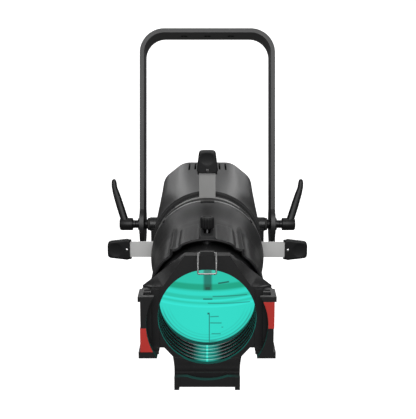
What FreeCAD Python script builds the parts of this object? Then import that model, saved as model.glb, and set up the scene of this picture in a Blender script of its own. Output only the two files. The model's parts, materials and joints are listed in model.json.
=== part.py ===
import FreeCAD, Part
import math
import os

# An LED ellipsoidal spotlight in millimetres.  The origin is the clamp hole in the top of the yoke, at
# the bar's top face, +Z up, and the light points towards -Y.  Everything that tilts is drawn on the
# optical axis first: x to the side, a forward of the pivot, h above the axis.  placed() then tilts it.

# Yoke
TILT = 12.4               # nose-down angle of the optical axis at rest, degrees
PIVOT_DROP = 362.0        # from the yoke's top face down to the pivot
YOKE_HALF = 125.0         # outer half-width of the yoke
BAR = 8.0                 # thickness of the yoke's flat bar
BAR_DEPTH = 70.0          # width of the flat bar, front to back
YOKE_CORNER = 45.0        # outer bend radius
CLAMP_HOLE = 6.5          # radius of the three holes in the top of the yoke
CLAMP_PITCH = 44.0
PAD = 45.0                # radius of the rounded arm ends
STUD = 6.0                # radius of the pivot studs
RUN = 0.08                # running clearance on a radius
BOSS_FACE = 107.8         # outer face of the housing's pivot bosses
DISC_IN, SPACER_IN = 108.0, 112.0
ARM_BOSS = 2.5            # the round boss stands this far off the yoke's arm
HUB_IN, HUB_OUT = 140.0, 165.0
HUB = 11.75               # radius of the tilt levers' hubs

# Housing
HOUSING_REAR = -173.0     # outer face of the rear cover
SHELL_REAR = -165.0       # rear end of the two shells
HOUSING_FRONT = 150.0
HOUSING_WALL = 3.0
FRONT_RADIUS = 94.0       # the housing ends in a round front
TOP_FLAT = 49.0           # half-width of the flat top at the rear
TOP_HEIGHT = 90.0
SHOULDER_X, SHOULDER_H = 88.5, 58.0
SIDE_X = 97.0
CORNER_ROUND = 14.0
VENT = 1.75               # half-width of the cooling slots
VENT_X = [-36, -24, -12, 0, 12, 24, 36]
VENT_H = [50, 20, -20, -50]

# Rear cover
DISPLAY_HALF, DISPLAY_LOW, DISPLAY_HIGH = 28.0, 22.0, 46.0
BUTTON_NAMES = ["button_menu", "button_up", "button_down", "button_enter"]
BUTTON_X = [-30, -10, 10, 30]
BUTTON_H = 6.0
CONNECTOR_X = [-52, -17.5, 17.5, 52]
CONNECTOR_H = -36.0
FUSE_H = -68.0
EYE_A = -140.0            # the safety eye, under the rear of the housing

# Light engine
SINK, SINK_REAR, SINK_FRONT = 66.0, -78.0, 18.0
SINK_FACE = 28.0          # the board with the light sources lies on this face
PIPE_SPOTS = [(-32, 26), (32, 26), (-32, -26), (32, -26)]
CHIP = 2.2
FAN_A = -120.0

# Gate and shutters
NECK = 56.0               # radius of the neck that the barrel turns on
GATE_REAR, GATE_FRONT = 158.0, 217.0
GATE_RADIUS = 89.0
PLATE_REAR, PLATE_FRONT, GATE_PLATE = 176.4, 185.4, 1.2
BLADE_PLANE = 178.4       # where the first blade lies
BLADE_PITCH = 1.9
BLADE = 0.8
BLADE_NECK = 13.5         # half-width of the bare strip outside the gate
HANDLE_IN, HANDLE_OUT = 127.0, 167.0
HANDLE_HOLE = 135.0
HANDLE_HALF = 5.5         # half the thickness of a handle
HOLE = 2.4

# Barrel and lens tube
BARREL_REAR, BARREL_FRONT = 224.0, 445.0
COVER_FRONT, COVER_HALF = 233.0, 11.0
SIDE_SLOTS = [(372, -4), (372, -30), (408, -4), (408, -30)]
BARREL_SCREWS = [50, 130, 230, 310]
MOUTH = 78.5              # inner radius of the barrel's mouth
TUBE = 73.5               # outer radius of the lens tube
TUBE_BORE = 69.0
TUBE_REAR = 300.0
KNOB_A = 397.0            # the focus lock knob
FOCUS_TRAVEL = 20.0
FACE_REAR, FACE = 516.0, 521.0
OPENING = 63.7            # radius of the front opening
HOLDER_FRONT = 554.0
HOLDER_FOOT = -86.0       # the lowest point of the bottom holder
SLOT_END = 80.7           # half the width between the accessory slots' ends
NARROW_SLOT = (523.5, 529.0)
WIDE_SLOT = (534.5, 546.5)
LENS = 68.7               # radius of both lenses
FRONT_LENS, REAR_LENS = 431.0, 350.0     # their flat faces
RETAINER = 3.5
BAFFLE_FIRST, BAFFLE_PITCH, BAFFLES = 453.0, 13.0, 5
PANEL = 0.8

# Retaining clip and its hinge
WIRE, WIRE_BEND = 1.25, 1.6
LEG = 11.4                # half the distance between the clip's legs
HINGE_A, HINGE_H = 518.0, 85.2

FORWARD = FreeCAD.Vector(0, -1, 0)
UP = FreeCAD.Vector(0, 0, 1)
SIDE = FreeCAD.Vector(1, 0, 0)
ORIGIN = FreeCAD.Vector(0, 0, 0)


# ---------------------------------------------------------------- drawing helpers

def point(x, a, h):
    return FreeCAD.Vector(x, -a, h)


def rod(radius, a0, a1, x=0.0, h=0.0):
    return Part.makeCylinder(radius, a1 - a0, point(x, a0, h), FORWARD)


def pipe(outer, inner, a0, a1):
    return rod(outer, a0, a1).cut(rod(inner, a0 - 1, a1 + 1))


def post(radius, h0, h1, x, a):
    return Part.makeCylinder(radius, h1 - h0, point(x, a, h0), UP)


def bar(radius, x0, x1, a=0.0, h=0.0):
    return Part.makeCylinder(radius, x1 - x0, point(x0, a, h), SIDE)


def block(x0, x1, a0, a1, h0, h1):
    return Part.makeBox(x1 - x0, a1 - a0, h1 - h0, point(x0, a1, h0))


def turned(profile):
    # profile: (radius, a) points of a closed outline, spun about the optical axis
    outline = Part.makePolygon([point(r, a, 0) for r, a in profile + profile[:1]])
    return Part.Face(outline).revolve(ORIGIN, FORWARD, 360)


def both_sides(points):
    return points + [(-x, h) for x, h in reversed(points)]


def plate(outline, a0, a1):
    # outline: (x, h) points, made a0 to a1 thick along the axis
    wire = Part.makePolygon([point(x, a0, h) for x, h in outline + outline[:1]])
    return Part.Face(wire).extrude(point(0, a1 - a0, 0))


def lofted(sections):
    # sections: (a, [(x, h), ...]) with the same number of corners each
    wires = []
    for a, outline in sections:
        wires.append(Part.makePolygon([point(x, a, h) for x, h in outline + outline[:1]]))
    return Part.makeLoft(wires, True, True)


def joined(shapes):
    result = shapes[0]
    for shape in shapes[1:]:
        result = result.fuse(shape)
    return result.removeSplitter()


def without(shape, tools):
    for tool in tools:
        shape = shape.cut(tool)
    return shape


def turned_by(shape, angle):
    copy = shape.copy()
    copy.rotate(ORIGIN, FORWARD, angle)
    return copy


def mirrored(shape):
    return shape.mirror(ORIGIN, SIDE)


def rounded(shape, radius, keep):
    # fillets the edges that keep(edge) picks
    return shape.makeFillet(radius, [edge for edge in shape.Edges if keep(edge)])


def hung(shape):
    copy = shape.copy()
    copy.translate(FreeCAD.Vector(0, 0, -PIVOT_DROP))
    return copy


def placed(shape):
    copy = shape.copy()
    copy.rotate(ORIGIN, SIDE, TILT)
    return hung(copy)


def save(name, shapes):
    solids = []
    for shape in shapes:
        solids.extend(shape.Solids)
    whole = solids[0] if len(solids) == 1 else Part.makeCompound(solids)
    if not whole.isValid():
        print("not valid:", name)
    whole.exportStep("parts/%s.step" % name)
    print("%-20s %2d solids %9.0f mm3" % (name, len(solids), whole.Volume))


# ---------------------------------------------------------------- yoke and tilt clamps

def bent_strip(half_width, drop, corner):
    # the upper outline of the bent bar: straight legs, a flat top and round corners
    y = BAR_DEPTH / 2
    inset = corner * (1 - math.sqrt(0.5))
    left, right, top = -half_width, half_width, -drop
    bottom = -PIVOT_DROP

    def at(x, z):
        return FreeCAD.Vector(x, -y, z)

    edges = [
        Part.LineSegment(at(left, bottom), at(left, top - corner)),
        Part.Arc(at(left, top - corner), at(left + inset, top - inset), at(left + corner, top)),
        Part.LineSegment(at(left + corner, top), at(right - corner, top)),
        Part.Arc(at(right - corner, top), at(right - inset, top - inset), at(right, top - corner)),
        Part.LineSegment(at(right, top - corner), at(right, bottom)),
        Part.LineSegment(at(right, bottom), at(left, bottom)),
    ]
    wire = Part.Wire([edge.toShape() for edge in edges])
    return Part.Face(wire).extrude(FreeCAD.Vector(0, 2 * y, 0))


def make_yoke():
    inner_half = YOKE_HALF - BAR
    strip = bent_strip(YOKE_HALF, 0, YOKE_CORNER).cut(bent_strip(inner_half, BAR, YOKE_CORNER - BAR))
    pieces = [strip]
    for x0, boss0 in ((inner_half, YOKE_HALF), (-YOKE_HALF, -YOKE_HALF - ARM_BOSS)):
        pieces.append(hung(bar(PAD, x0, x0 + BAR)))
        pieces.append(hung(bar(22.0, boss0, boss0 + ARM_BOSS)))
    tools = [hung(bar(STUD + RUN, -YOKE_HALF - 5, YOKE_HALF + 5))]
    for x in (-CLAMP_PITCH, 0, CLAMP_PITCH):
        hole = Part.makeCylinder(CLAMP_HOLE, BAR + 2, FreeCAD.Vector(x, 0, -BAR - 1), UP)
        tools.append(hole)
    save("yoke", [without(joined(pieces), tools)])

    spacer = bar(9.0, SPACER_IN, inner_half).cut(bar(STUD + RUN, 100, 130))
    disc = bar(12.0, DISC_IN, SPACER_IN).cut(bar(STUD + RUN, 100, 130))
    save("pivot_spacers", [hung(spacer), hung(mirrored(spacer))])
    save("friction_discs", [hung(disc), hung(mirrored(disc))])


def make_lever(name, side):
    # the stud is steel with a round collar; the lever is moulded on to its end
    collar = YOKE_HALF + ARM_BOSS + 0.3
    stud_end = HUB_IN + 12
    washer = bar(11.0, collar, collar + 2.5)
    stud = bar(STUD, 97.5, stud_end).fuse(bar(7.5, collar, HUB_IN)).fuse(washer)
    hub = bar(HUB, HUB_IN, HUB_OUT)
    hub = rounded(hub, 2.0, lambda edge: len(edge.Vertexes) == 1)
    # the arm leans outwards and tapers: its middle, then its thickness and depth
    sections = []
    for x, z, thick, depth in ((152, 4, 13, 14), (160, 30, 12, 13), (168, 60, 9.5, 12), (175, 84.5, 8, 11)):
        half, lean = thick / 2, math.radians(15)
        dx, dz = half * math.cos(lean), half * math.sin(lean)
        corners = [(x - dx, z + dz, -depth / 2), (x + dx, z - dz, -depth / 2),
                   (x + dx, z - dz, depth / 2), (x - dx, z + dz, depth / 2)]
        vectors = [point(cx, ca, cz) for cx, cz, ca in corners]
        sections.append(Part.makePolygon(vectors + vectors[:1]))
    arm = Part.makeLoft(sections, True, True)
    lever = joined([hub, arm]).cut(bar(STUD, 90, stud_end))
    shapes = [stud, lever]
    if side < 0:
        shapes = [mirrored(shape) for shape in shapes]
    save(name + "_stud", [hung(shapes[0])])
    save(name, [hung(shapes[1])])


# ---------------------------------------------------------------- housing

def loaf_corners(inset):
    # the rear section: a flat top and bottom, sloping shoulders and near-upright sides
    quarter = [(TOP_FLAT, TOP_HEIGHT), (SHOULDER_X, SHOULDER_H), (SIDE_X, 0.0)]
    upper = [(x - inset * 0.8 if x > 60 else x - inset * 0.4, max(h - inset, 0)) for x, h in quarter]
    right = upper + [(x, -h) for x, h in reversed(upper[:-1])]
    return right + [(-x, h) for x, h in reversed(right)]


def rounded_outline(corners, a, radius, round_front=None):
    # lines and corner arcs; with round_front, the same points pushed out to one circle
    count = len(corners)
    ends = []
    for i, (x, h) in enumerate(corners):
        before, after = corners[i - 1], corners[(i + 1) % count]
        cut = []
        for nx, nh in (before, after):
            length = math.hypot(nx - x, nh - h)
            step = min(radius, length * 0.4)
            cut.append((x + (nx - x) * step / length, h + (nh - h) * step / length))
        middle = ((cut[0][0] + cut[1][0] + 2 * x) / 4, (cut[0][1] + cut[1][1] + 2 * h) / 4)
        ends.append((cut[0], middle, cut[1]))

    def pushed(spot):
        if round_front is None:
            return spot
        scale = round_front / math.hypot(*spot)
        return (spot[0] * scale, spot[1] * scale)

    edges = []
    for i, (first, middle, last) in enumerate(ends):
        first, middle, last = pushed(first), pushed(middle), pushed(last)
        edges.append(Part.Arc(point(first[0], a, first[1]), point(middle[0], a, middle[1]),
                              point(last[0], a, last[1])))
        following = pushed(ends[(i + 1) % count][0])
        if round_front is None:
            edges.append(Part.LineSegment(point(last[0], a, last[1]), point(following[0], a, following[1])))
        else:
            bow = pushed(((last[0] + following[0]) / 2, (last[1] + following[1]) / 2))
            edges.append(Part.Arc(point(last[0], a, last[1]), point(bow[0], a, bow[1]),
                                  point(following[0], a, following[1])))
    return Part.Wire([edge.toShape() for edge in edges])


def housing_solid(inset, a0, a1):
    rear = rounded_outline(loaf_corners(inset), a0, CORNER_ROUND)
    front = rounded_outline(loaf_corners(inset), a1, CORNER_ROUND, FRONT_RADIUS - inset)
    return Part.makeLoft([rear, front], True, True)


def loaf_plate(inset, a0, a1):
    wire = rounded_outline(loaf_corners(inset), a0, CORNER_ROUND)
    return Part.Face(wire).extrude(point(0, a1 - a0, 0))


def make_housing():
    hollow = housing_solid(HOUSING_WALL, SHELL_REAR - 0.5, HOUSING_FRONT + 0.5)
    shell = housing_solid(0, SHELL_REAR, HOUSING_FRONT).cut(hollow)
    vents = []
    for x in VENT_X:
        vents.append(block(x - VENT, x + VENT, -155, -82, 70, 100))
        vents.append(block(x - VENT, x + VENT, -155, -82, -100, -70))
    for h in VENT_H:
        for x0, x1 in ((-110, -82), (82, 110)):
            vents.append(block(x0, x1, -130, -102, h - VENT, h + VENT))
    for side in (-1, 1):
        vents.append(bar(STUD + 3, *sorted((side * 80, side * 110))))
    shell = without(shell, vents)
    half = block(-120, 120, -200, 200, 0, 120)
    save("housing_upper", [placed(shell.common(half))])
    save("housing_lower", [placed(shell.cut(half))])

    face = HOUSING_FRONT + 6
    band = turned([(FRONT_RADIUS, HOUSING_FRONT), (FRONT_RADIUS, face - 2), (FRONT_RADIUS - 2, face),
                   (NECK, face), (NECK, face + 10), (50, face + 10), (50, HOUSING_FRONT)])
    save("front_band", [placed(band)])


def make_rear_cover():
    rim = loaf_plate(0, -170, SHELL_REAR).cut(loaf_plate(5, -169, SHELL_REAR + 1))
    cover = rim.fuse(loaf_plate(HOUSING_WALL, HOUSING_REAR, -169))
    through = (HOUSING_REAR - 1, SHELL_REAR + 1)
    tools = [block(-DISPLAY_HALF, DISPLAY_HALF, *through, DISPLAY_LOW, DISPLAY_HIGH)]
    for x in BUTTON_X:
        tools.append(rod(4.6, *through, x, BUTTON_H))
    for x in CONNECTOR_X:
        tools.append(rod(12.0, *through, x, CONNECTOR_H))
    tools.append(rod(7.0, *through, 0, FUSE_H))
    for x in range(-40, 41, 8):
        tools.append(block(x - 1.5, x + 1.5, *through, 54, 80))
    save("rear_cover", [placed(without(cover, tools))])
    window = block(-DISPLAY_HALF, DISPLAY_HALF, HOUSING_REAR, HOUSING_REAR + 2, DISPLAY_LOW, DISPLAY_HIGH)
    save("display_window", [placed(window)])
    for name, x in zip(BUTTON_NAMES, BUTTON_X):
        stem = rod(3.0, -167, -161, x, BUTTON_H)
        cap = rod(4.5, -176, -166, x, BUTTON_H).fuse(rod(6.0, -163.5, -161, x, BUTTON_H)).fuse(stem)
        save(name, [placed(cap)])
    for name, pair in (("power_sockets", CONNECTOR_X[:2]), ("data_sockets", CONNECTOR_X[2:])):
        sockets = []
        for x in pair:
            low, high = CONNECTOR_H - 16, CONNECTOR_H + 16
            flange = block(x - 14, x + 14, HOUSING_REAR - 2, HOUSING_REAR, low, high)
            body = flange.fuse(rod(12.0, HOUSING_REAR, -145, x, CONNECTOR_H))
            body = body.cut(rod(9.5, -176, -155, x, CONNECTOR_H))
            pins = []
            for t in (0.5, 2.6, 4.7):
                pins.append(rod(1.5, -168, -154, x + 5 * math.cos(t), CONNECTOR_H + 5 * math.sin(t)))
            sockets.append(placed(joined([body] + pins)))
        save(name, sockets)
    fuse_cap = joined([rod(8.5, -181, HOUSING_REAR, 0, FUSE_H), rod(7.0, HOUSING_REAR, -150, 0, FUSE_H)])
    save("fuse_cap", [placed(fuse_cap)])


def make_brackets():
    # cast feet bolted to the sides of the housing, each with a round boss for a pivot stud
    boss = bar(13.0, 90.0, BOSS_FACE)
    foot = block(90.0, 105.0, -24, 24, -42, -6)
    body = housing_solid(0, SHELL_REAR, HOUSING_FRONT)
    bracket = boss.fuse(foot).cut(bar(STUD + RUN, 80, 120)).cut(body)
    bracket = max(bracket.Solids, key=lambda solid: solid.Volume)
    save("pivot_brackets", [placed(bracket), placed(mirrored(bracket))])


def make_safety_eye():
    # a steel loop for the safety cable, standing on the rear of the lower housing
    ring = Part.makeTorus(12.0, 2.5, point(0, EYE_A, -94), SIDE)
    foot = block(-9, 9, EYE_A - 12, EYE_A + 12, -92.5, -TOP_HEIGHT)
    eye = ring.fuse(foot).cut(housing_solid(0, SHELL_REAR, HOUSING_FRONT))
    save("safety_eye", [placed(max(eye.Solids, key=lambda solid: solid.Volume))])


# ---------------------------------------------------------------- light engine inside the housing

def make_engine():
    pipes = [rod(3.0, SINK_REAR, SINK_FRONT, x, h) for x, h in PIPE_SPOTS]
    sink = [rod(SINK, SINK_FRONT, SINK_FACE)]
    for i in range(-6, 7):
        x = i * 9.0
        reach = min(52.0, math.sqrt(SINK ** 2 - (abs(x) + 1) ** 2))
        sink.append(block(x - 0.9, x + 0.9, SINK_REAR, SINK_FRONT + 0.5, -reach, reach))
    save("heat_sink", [placed(without(joined(sink), pipes))])
    save("heat_pipes", [placed(shape) for shape in pipes])

    board_face = SINK_FACE + 1.6
    board = rod(44.0, SINK_FACE, board_face)
    chips = [rod(CHIP, board_face, board_face + 1)]
    for count, radius in ((6, 6.5), (12, 13.0)):
        for i in range(count):
            t = 2 * math.pi * i / count
            x, h = radius * math.cos(t), radius * math.sin(t)
            chips.append(rod(CHIP, board_face, board_face + 1, x, h))
    save("led_board", [placed(joined([board] + chips))])
    hexagon = [(15 * math.cos(math.radians(60 * i)), 15 * math.sin(math.radians(60 * i))) for i in range(6)]
    save("mixing_rod", [placed(plate(hexagon, 32.0, 104.0))])
    # the tube stands on the board and carries a ring for the mixing rod and a seat for the condenser
    engine_tube = turned([(40, 29.6), (40, 34), (44, 34), (44, 134), (40.4, 134), (40.4, 108), (16, 108),
                          (16, 104.5), (40.4, 104.5), (40.4, 38), (36, 38), (36, 29.6)])
    save("engine_tube", [placed(engine_tube)])
    condenser = rod(40.2, 118, 122).fuse(
        Part.makeSphere(70, point(0, 62, 0)).common(rod(39.0, 121, 140)))
    save("condenser_lens", [placed(condenser.removeSplitter())])

    frame = block(-40, 40, -134, -112, -40, 40).cut(rod(38.0, -140, -100))
    arms = [block(-40, 40, -134, -131, -2, 2), block(-2, 2, -134, -131, -40, 40), rod(17.0, -134, -129)]
    frame = joined([frame] + arms).cut(rod(3.0 + RUN, -135, -100))
    save("fan_frame", [placed(frame)])
    hub = rod(16.0, -127, -113).fuse(rod(3.0, -133, -120))
    blades = []
    for i in range(7):
        blade = block(-1.2, 1.2, FAN_A - 6, FAN_A + 6, 14, 36.5)
        blade.rotate(point(0, FAN_A, 0), UP, 38)
        blades.append(turned_by(blade, i * 360.0 / 7))
    save("fan_rotor", [placed(joined([hub] + blades))])

    supply = block(-38, 38, -105, 15, -80, -55)
    save("power_supply", [placed(supply)])
    driver = block(-38, 38, -75, 60, 66, 68)
    parts = [block(-30, -10, -60, -30, 68, 76), block(5, 25, -50, 0, 68, 72), post(7, 68, 80, -20, 20)]
    save("driver_board", [placed(joined([driver] + parts))])
    keys = block(-42, 42, -158.5, -157.0, -4, 48)
    save("control_board", [placed(keys)])


# ---------------------------------------------------------------- gate and shutters

def make_gate():
    # the rear ring, four posts that hold the two plates apart, and the front ring; the blades run
    # between the plates and come out between the posts
    rear = turned([(GATE_RADIUS, GATE_REAR), (GATE_RADIUS, PLATE_REAR), (85, PLATE_REAR), (85, 162),
                   (60, 162), (60, PLATE_REAR), (NECK + 0.3, PLATE_REAR), (NECK + 0.3, GATE_REAR)])
    posts = [rear]
    for angle in (45, 135, 225, 315):
        wedge = pipe(GATE_RADIUS, 82.0, PLATE_REAR + GATE_PLATE, PLATE_FRONT)
        wedge = wedge.common(block(-12, 12, 170, 190, 60, 100))
        posts.append(turned_by(wedge, angle))
    plates = []
    for a, opening in ((PLATE_REAR, 40.0), (PLATE_FRONT, 38.0)):
        plates.append(rod(GATE_RADIUS, a, a + GATE_PLATE).cut(rod(opening, 170, 190)))
    save("gate_ring_rear", [placed(shape) for shape in posts])
    save("gate_plates", [placed(shape) for shape in plates])
    back = PLATE_FRONT + GATE_PLATE
    front = turned([(GATE_RADIUS, back), (GATE_RADIUS, GATE_FRONT), (62, GATE_FRONT), (62, 213),
                    (85, 213), (85, 190), (50, 190), (50, back)])
    save("gate_ring_front", [placed(front)])
    save("trim_ring", [placed(pipe(91.0, 84.0, GATE_FRONT, BARREL_REAR))])


def make_shutter(name, angle, layer):
    a = BLADE_PLANE + layer * BLADE_PITCH
    end = HANDLE_HOLE + 6
    outline = [(-36, 42), (36, 42), (36, 70), (BLADE_NECK, 80), (BLADE_NECK, end),
               (-BLADE_NECK, end), (-BLADE_NECK, 80), (-36, 70)]
    blade = plate(outline, a, a + BLADE)
    blade = blade.cut(rod(HOLE, a - 1, a + 2, 0, HANDLE_HOLE))
    middle = a + BLADE / 2
    right = [(17.0, HANDLE_IN), (17.4, HANDLE_IN + 8), (15.2, HANDLE_OUT - 7), (12.5, HANDLE_OUT - 2),
             (8, HANDLE_OUT)]
    handle = plate(both_sides(right), middle - HANDLE_HALF, middle + HANDLE_HALF)
    handle = rounded(handle, 1.5, lambda edge: abs(edge.Vertexes[0].Y - edge.Vertexes[-1].Y) < 0.01)
    dished = [Part.makeSphere(40.0, point(0, middle + side * 43.5, 152)) for side in (-1, 1)]
    hole = rod(HOLE, a - 9, a + 9, 0, HANDLE_HOLE)
    handle = without(handle, dished + [plate(outline, a, a + BLADE), hole])
    save(name, [placed(turned_by(blade, angle))])
    save(name + "_handle", [placed(turned_by(handle, angle))])


# ---------------------------------------------------------------- barrel

def make_barrel():
    outer = turned([(0, BARREL_REAR), (91, BARREL_REAR), (91, 236), (82.5, 310), (81.5, 350),
                    (81.0, BARREL_FRONT - 1.5), (79.8, BARREL_FRONT), (0, BARREL_FRONT)])
    inner = turned([(0, BARREL_REAR - 1), (87, BARREL_REAR - 1), (87, 236), (79, 310), (MOUTH, 350),
                    (MOUTH, BARREL_FRONT + 1), (0, BARREL_FRONT + 1)])
    saddle = turned([(0, 348), (81, 348), (85.5, 356), (84.0, BARREL_FRONT - 3), (82.5, BARREL_FRONT),
                     (0, BARREL_FRONT)])
    wedge = plate([(0, 0), (-63, 90), (63, 90)], 340, 450)
    pieces = [outer, saddle.common(wedge), saddle.common(turned_by(wedge, 180))]
    pad = block(-11, 11, 365, 441, 76, 87.5)
    pieces.append(pad)
    for angle in (-35, 35, 145, 215):
        rib = block(-2.2, 2.2, 300, BARREL_FRONT, 76, 86.0)
        pieces.append(turned_by(rib, angle))
    body = joined(pieces).cut(inner)
    # rails inside the mouth carry the lens tube as it slides
    rails = []
    for angle in (45, 135, 225, 315):
        rail = block(-4, 4, 318, 436, TUBE + 0.3, 81).common(pipe(80.5, TUBE + 0.3, 318, 436))
        rails.append(turned_by(rail, angle))
    body = joined([body] + rails)
    reach = FOCUS_TRAVEL + 4.4
    tools = [block(-4.5, 4.5, KNOB_A - reach, KNOB_A + reach, 60, 100),
             block(-COVER_HALF, COVER_HALF, BARREL_REAR - 1, COVER_FRONT, 84, 100)]
    for side in (-1, 1):
        for a, h in SIDE_SLOTS:
            slot = block(*sorted((side * 60, side * 95)), a - 7, a + 7, h - 2, h + 2)
            tools.append(slot)
    body = without(body, tools)
    half = block(-120, 120, 200, 500, 0, 120)
    save("barrel_upper", [placed(body.common(half))])
    save("barrel_lower", [placed(body.cut(half))])
    cover = pipe(92.5, 87.0, BARREL_REAR, COVER_FRONT)
    cover = cover.common(block(-COVER_HALF, COVER_HALF, 200, 240, 84, 100))
    save("slot_cover", [placed(cover)])


# ---------------------------------------------------------------- lens tube and accessory holder

FACE_SIDE = [(28.5, 82.5), (57, 41), (71.5, 41), (71.5, -42), (56, -42), (43, -56.5), (43, -82)]
WIDE_SIDE = [(28.5, 82.0), (66, 52), (84, 38), (84, -42), (60, -44), (46, -58), (43, -80)]


def on_circle(points, radius):
    return [(x * radius / math.hypot(x, h), h * radius / math.hypot(x, h)) for x, h in points]


def make_holder():
    # channels that take the accessory frames: a narrow slot behind and a wide slot in front
    lip_cut = rod(77.0, 540, 560)
    slots = [NARROW_SLOT, WIDE_SLOT]
    step0, step1 = NARROW_SLOT[1], WIDE_SLOT[0]
    pieces = []
    for side in (-1, 1):
        x0, x1 = sorted((side * 62, side * 84))
        channel = block(x0, x1, FACE_REAR, HOLDER_FRONT, -43.7, 38)
        y0, y1 = sorted((side * 50, side * SLOT_END))
        gaps = [block(y0, y1, a0, a1, -41, 60) for a0, a1 in slots]
        z0, z1 = sorted((side * 50, side * 71.5))
        gaps += [block(z0, z1, step0, step1, -50, 60), lip_cut]
        channel = without(channel, gaps)
        cap0, cap1 = sorted((side * 84, side * 87))
        pieces += [channel, block(cap0, cap1, 520, HOLDER_FRONT, 31.4, 38),
                   block(cap0, cap1, 520, HOLDER_FRONT, -43.7, -35)]
    lower = block(-42, 42, FACE_REAR, HOLDER_FRONT, HOLDER_FOOT + 3.5, -56)
    gaps = [block(-60, 60, a0, a1, -SLOT_END, 0) for a0, a1 in slots]
    gaps += [block(-60, 60, step0, step1, -71.5, 0), block(-60, 60, 546, 560, -68.7, 0),
             rod(73.3, 540, 560)]
    pieces.append(without(lower, gaps))
    for x0, x1 in ((-42, -35.5), (35.5, 42)):
        pieces.append(block(x0, x1, WIDE_SLOT[1], HOLDER_FRONT + 1.5, HOLDER_FOOT, -68.7))
        pieces.append(block(x0, x1, FACE_REAR, HOLDER_FRONT, HOLDER_FOOT, HOLDER_FOOT + 3.5))
    return pieces


def make_lens_tube():
    face = both_sides(FACE_SIDE)
    wide = both_sides(WIDE_SIDE)
    ring = on_circle(wide, TUBE)
    flare = lofted([(460, ring), (504, wide)]).fuse(lofted([(504, wide), (FACE, face)]))
    outer = joined([rod(TUBE, TUBE_REAR, 470), flare] + make_holder())
    bore = rod(TUBE_BORE, TUBE_REAR - 1, FACE_REAR).fuse(rod(OPENING, 500, NARROW_SLOT[1]))
    tools = [bore, post(3.0, 60, 80, 0, KNOB_A)]
    body = without(outer, tools)
    half = block(-100, 0, TUBE_REAR - 5, 600, -100, 100)
    save("lens_tube_left", [placed(body.common(half))])
    save("lens_tube_right", [placed(body.cut(half))])

    front = Part.makeSphere(150, point(0, 300, 0)).common(rod(LENS, 436, 460))
    front = front.fuse(rod(LENS, FRONT_LENS, 436.5))
    save("front_lens", [placed(front.removeSplitter())])
    rim = REAR_LENS - 6
    rear = Part.makeSphere(140, point(0, 470, 0)).common(rod(LENS, 325, 346))
    rear = rear.fuse(rod(LENS, rim, REAR_LENS))
    save("rear_lens", [placed(rear.removeSplitter())])
    holders = []
    for a in (FRONT_LENS - RETAINER, REAR_LENS, rim - RETAINER):
        holders.append(pipe(TUBE_BORE, 65.5, a, a + RETAINER))
    save("lens_retainers", [placed(shape) for shape in holders])
    baffles = []
    for i in range(BAFFLES):
        a, edge = BAFFLE_FIRST + BAFFLE_PITCH * i, 66.0 - 0.3 * i
        baffles.append(turned([(TUBE_BORE, a - 3), (TUBE_BORE, a + 4), (67.5, a + 4), (67.5, a + 1),
                               (edge, a + 1), (edge, a - 1), (67.5, a - 1), (67.5, a - 3)]))
    save("baffle_rings", [placed(shape) for shape in baffles])

    panels = []
    for side, h0, h1 in ((-1, -35.0, -3.5), (1, -3.5, 31.4)):
        x0, x1 = sorted((side * 60, side * 84.6))
        panel = block(x0, x1, HOLDER_FRONT, HOLDER_FRONT + PANEL, h0, h1)
        outer_edge = block(*sorted((side * 84, side * 84.6)), 547, HOLDER_FRONT + PANEL, h0, h1)
        panels.append(placed(panel.cut(rod(77.0, 540, 560)).fuse(outer_edge).removeSplitter()))
    save("lip_panels", panels)


def make_knob():
    knob = post(10.0, 88.0, 105.0, 0, KNOB_A)
    knob = rounded(knob, 1.5, lambda edge: len(edge.Vertexes) == 1 and edge.BoundBox.ZMin > 104)
    grips = []
    for i in range(12):
        t = math.radians(30 * i)
        grips.append(post(1.6, 80, 110, 10.6 * math.cos(t), KNOB_A + 10.6 * math.sin(t)))
    knob = without(knob, grips)
    stud = post(2.9, 70.5, 100, 0, KNOB_A)
    save("focus_knob", [placed(knob.fuse(stud))])


def wire_run(points, radius, bend):
    # a round wire along straight runs with a tangent arc of the given radius at each corner
    edges, start = [], points[0]
    for before, corner, after in zip(points, points[1:], points[2:]):
        to_before = (before - corner).normalize()
        to_after = (after - corner).normalize()
        half = to_before.getAngle(to_after) / 2
        reach = bend / math.tan(half)
        first, last = corner + to_before * reach, corner + to_after * reach
        inward = (to_before + to_after).normalize()
        middle = corner + inward * (bend / math.sin(half) - bend)
        edges += [Part.LineSegment(start, first).toShape(), Part.Arc(first, middle, last).toShape()]
        start = last
    edges.append(Part.LineSegment(start, points[-1]).toShape())
    path = Part.Wire(edges)
    circle = Part.Circle(points[0], points[1] - points[0], radius).toShape()
    return path.makePipeShell([Part.Wire([circle])], True, True)


def make_clip():
    hinge = block(-9.0, 9.0, 515.5, 520.5, 82.5, 87.4).cut(bar(WIRE + RUN, -12, 12, HINGE_A, HINGE_H))
    save("clip_hinge", [placed(hinge)])
    left = [point(-8.0, HINGE_A, HINGE_H), point(-LEG, HINGE_A, HINGE_H), point(-LEG, 554.5, 83.0),
            point(-LEG, 557.5, 69.0)]
    right = [FreeCAD.Vector(-corner.x, corner.y, corner.z) for corner in reversed(left)]
    save("retaining_clip", [placed(wire_run(left + right, WIRE, WIRE_BEND))])


# ---------------------------------------------------------------- fasteners

def make_screws():
    # button heads only: the threads run into the castings
    spots = [(-62, 66), (62, 66), (-62, -66), (62, -66), (-80, 0), (80, 0)]
    rear = [rod(3.5, HOUSING_REAR - 2, HOUSING_REAR, x, h) for x, h in spots]
    save("rear_screws", [placed(shape) for shape in rear])
    ring = [turned_by(post(3.2, 91.0, 92.8, 0, 230), angle) for angle in BARREL_SCREWS]
    save("barrel_screws", [placed(shape) for shape in ring])


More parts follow.
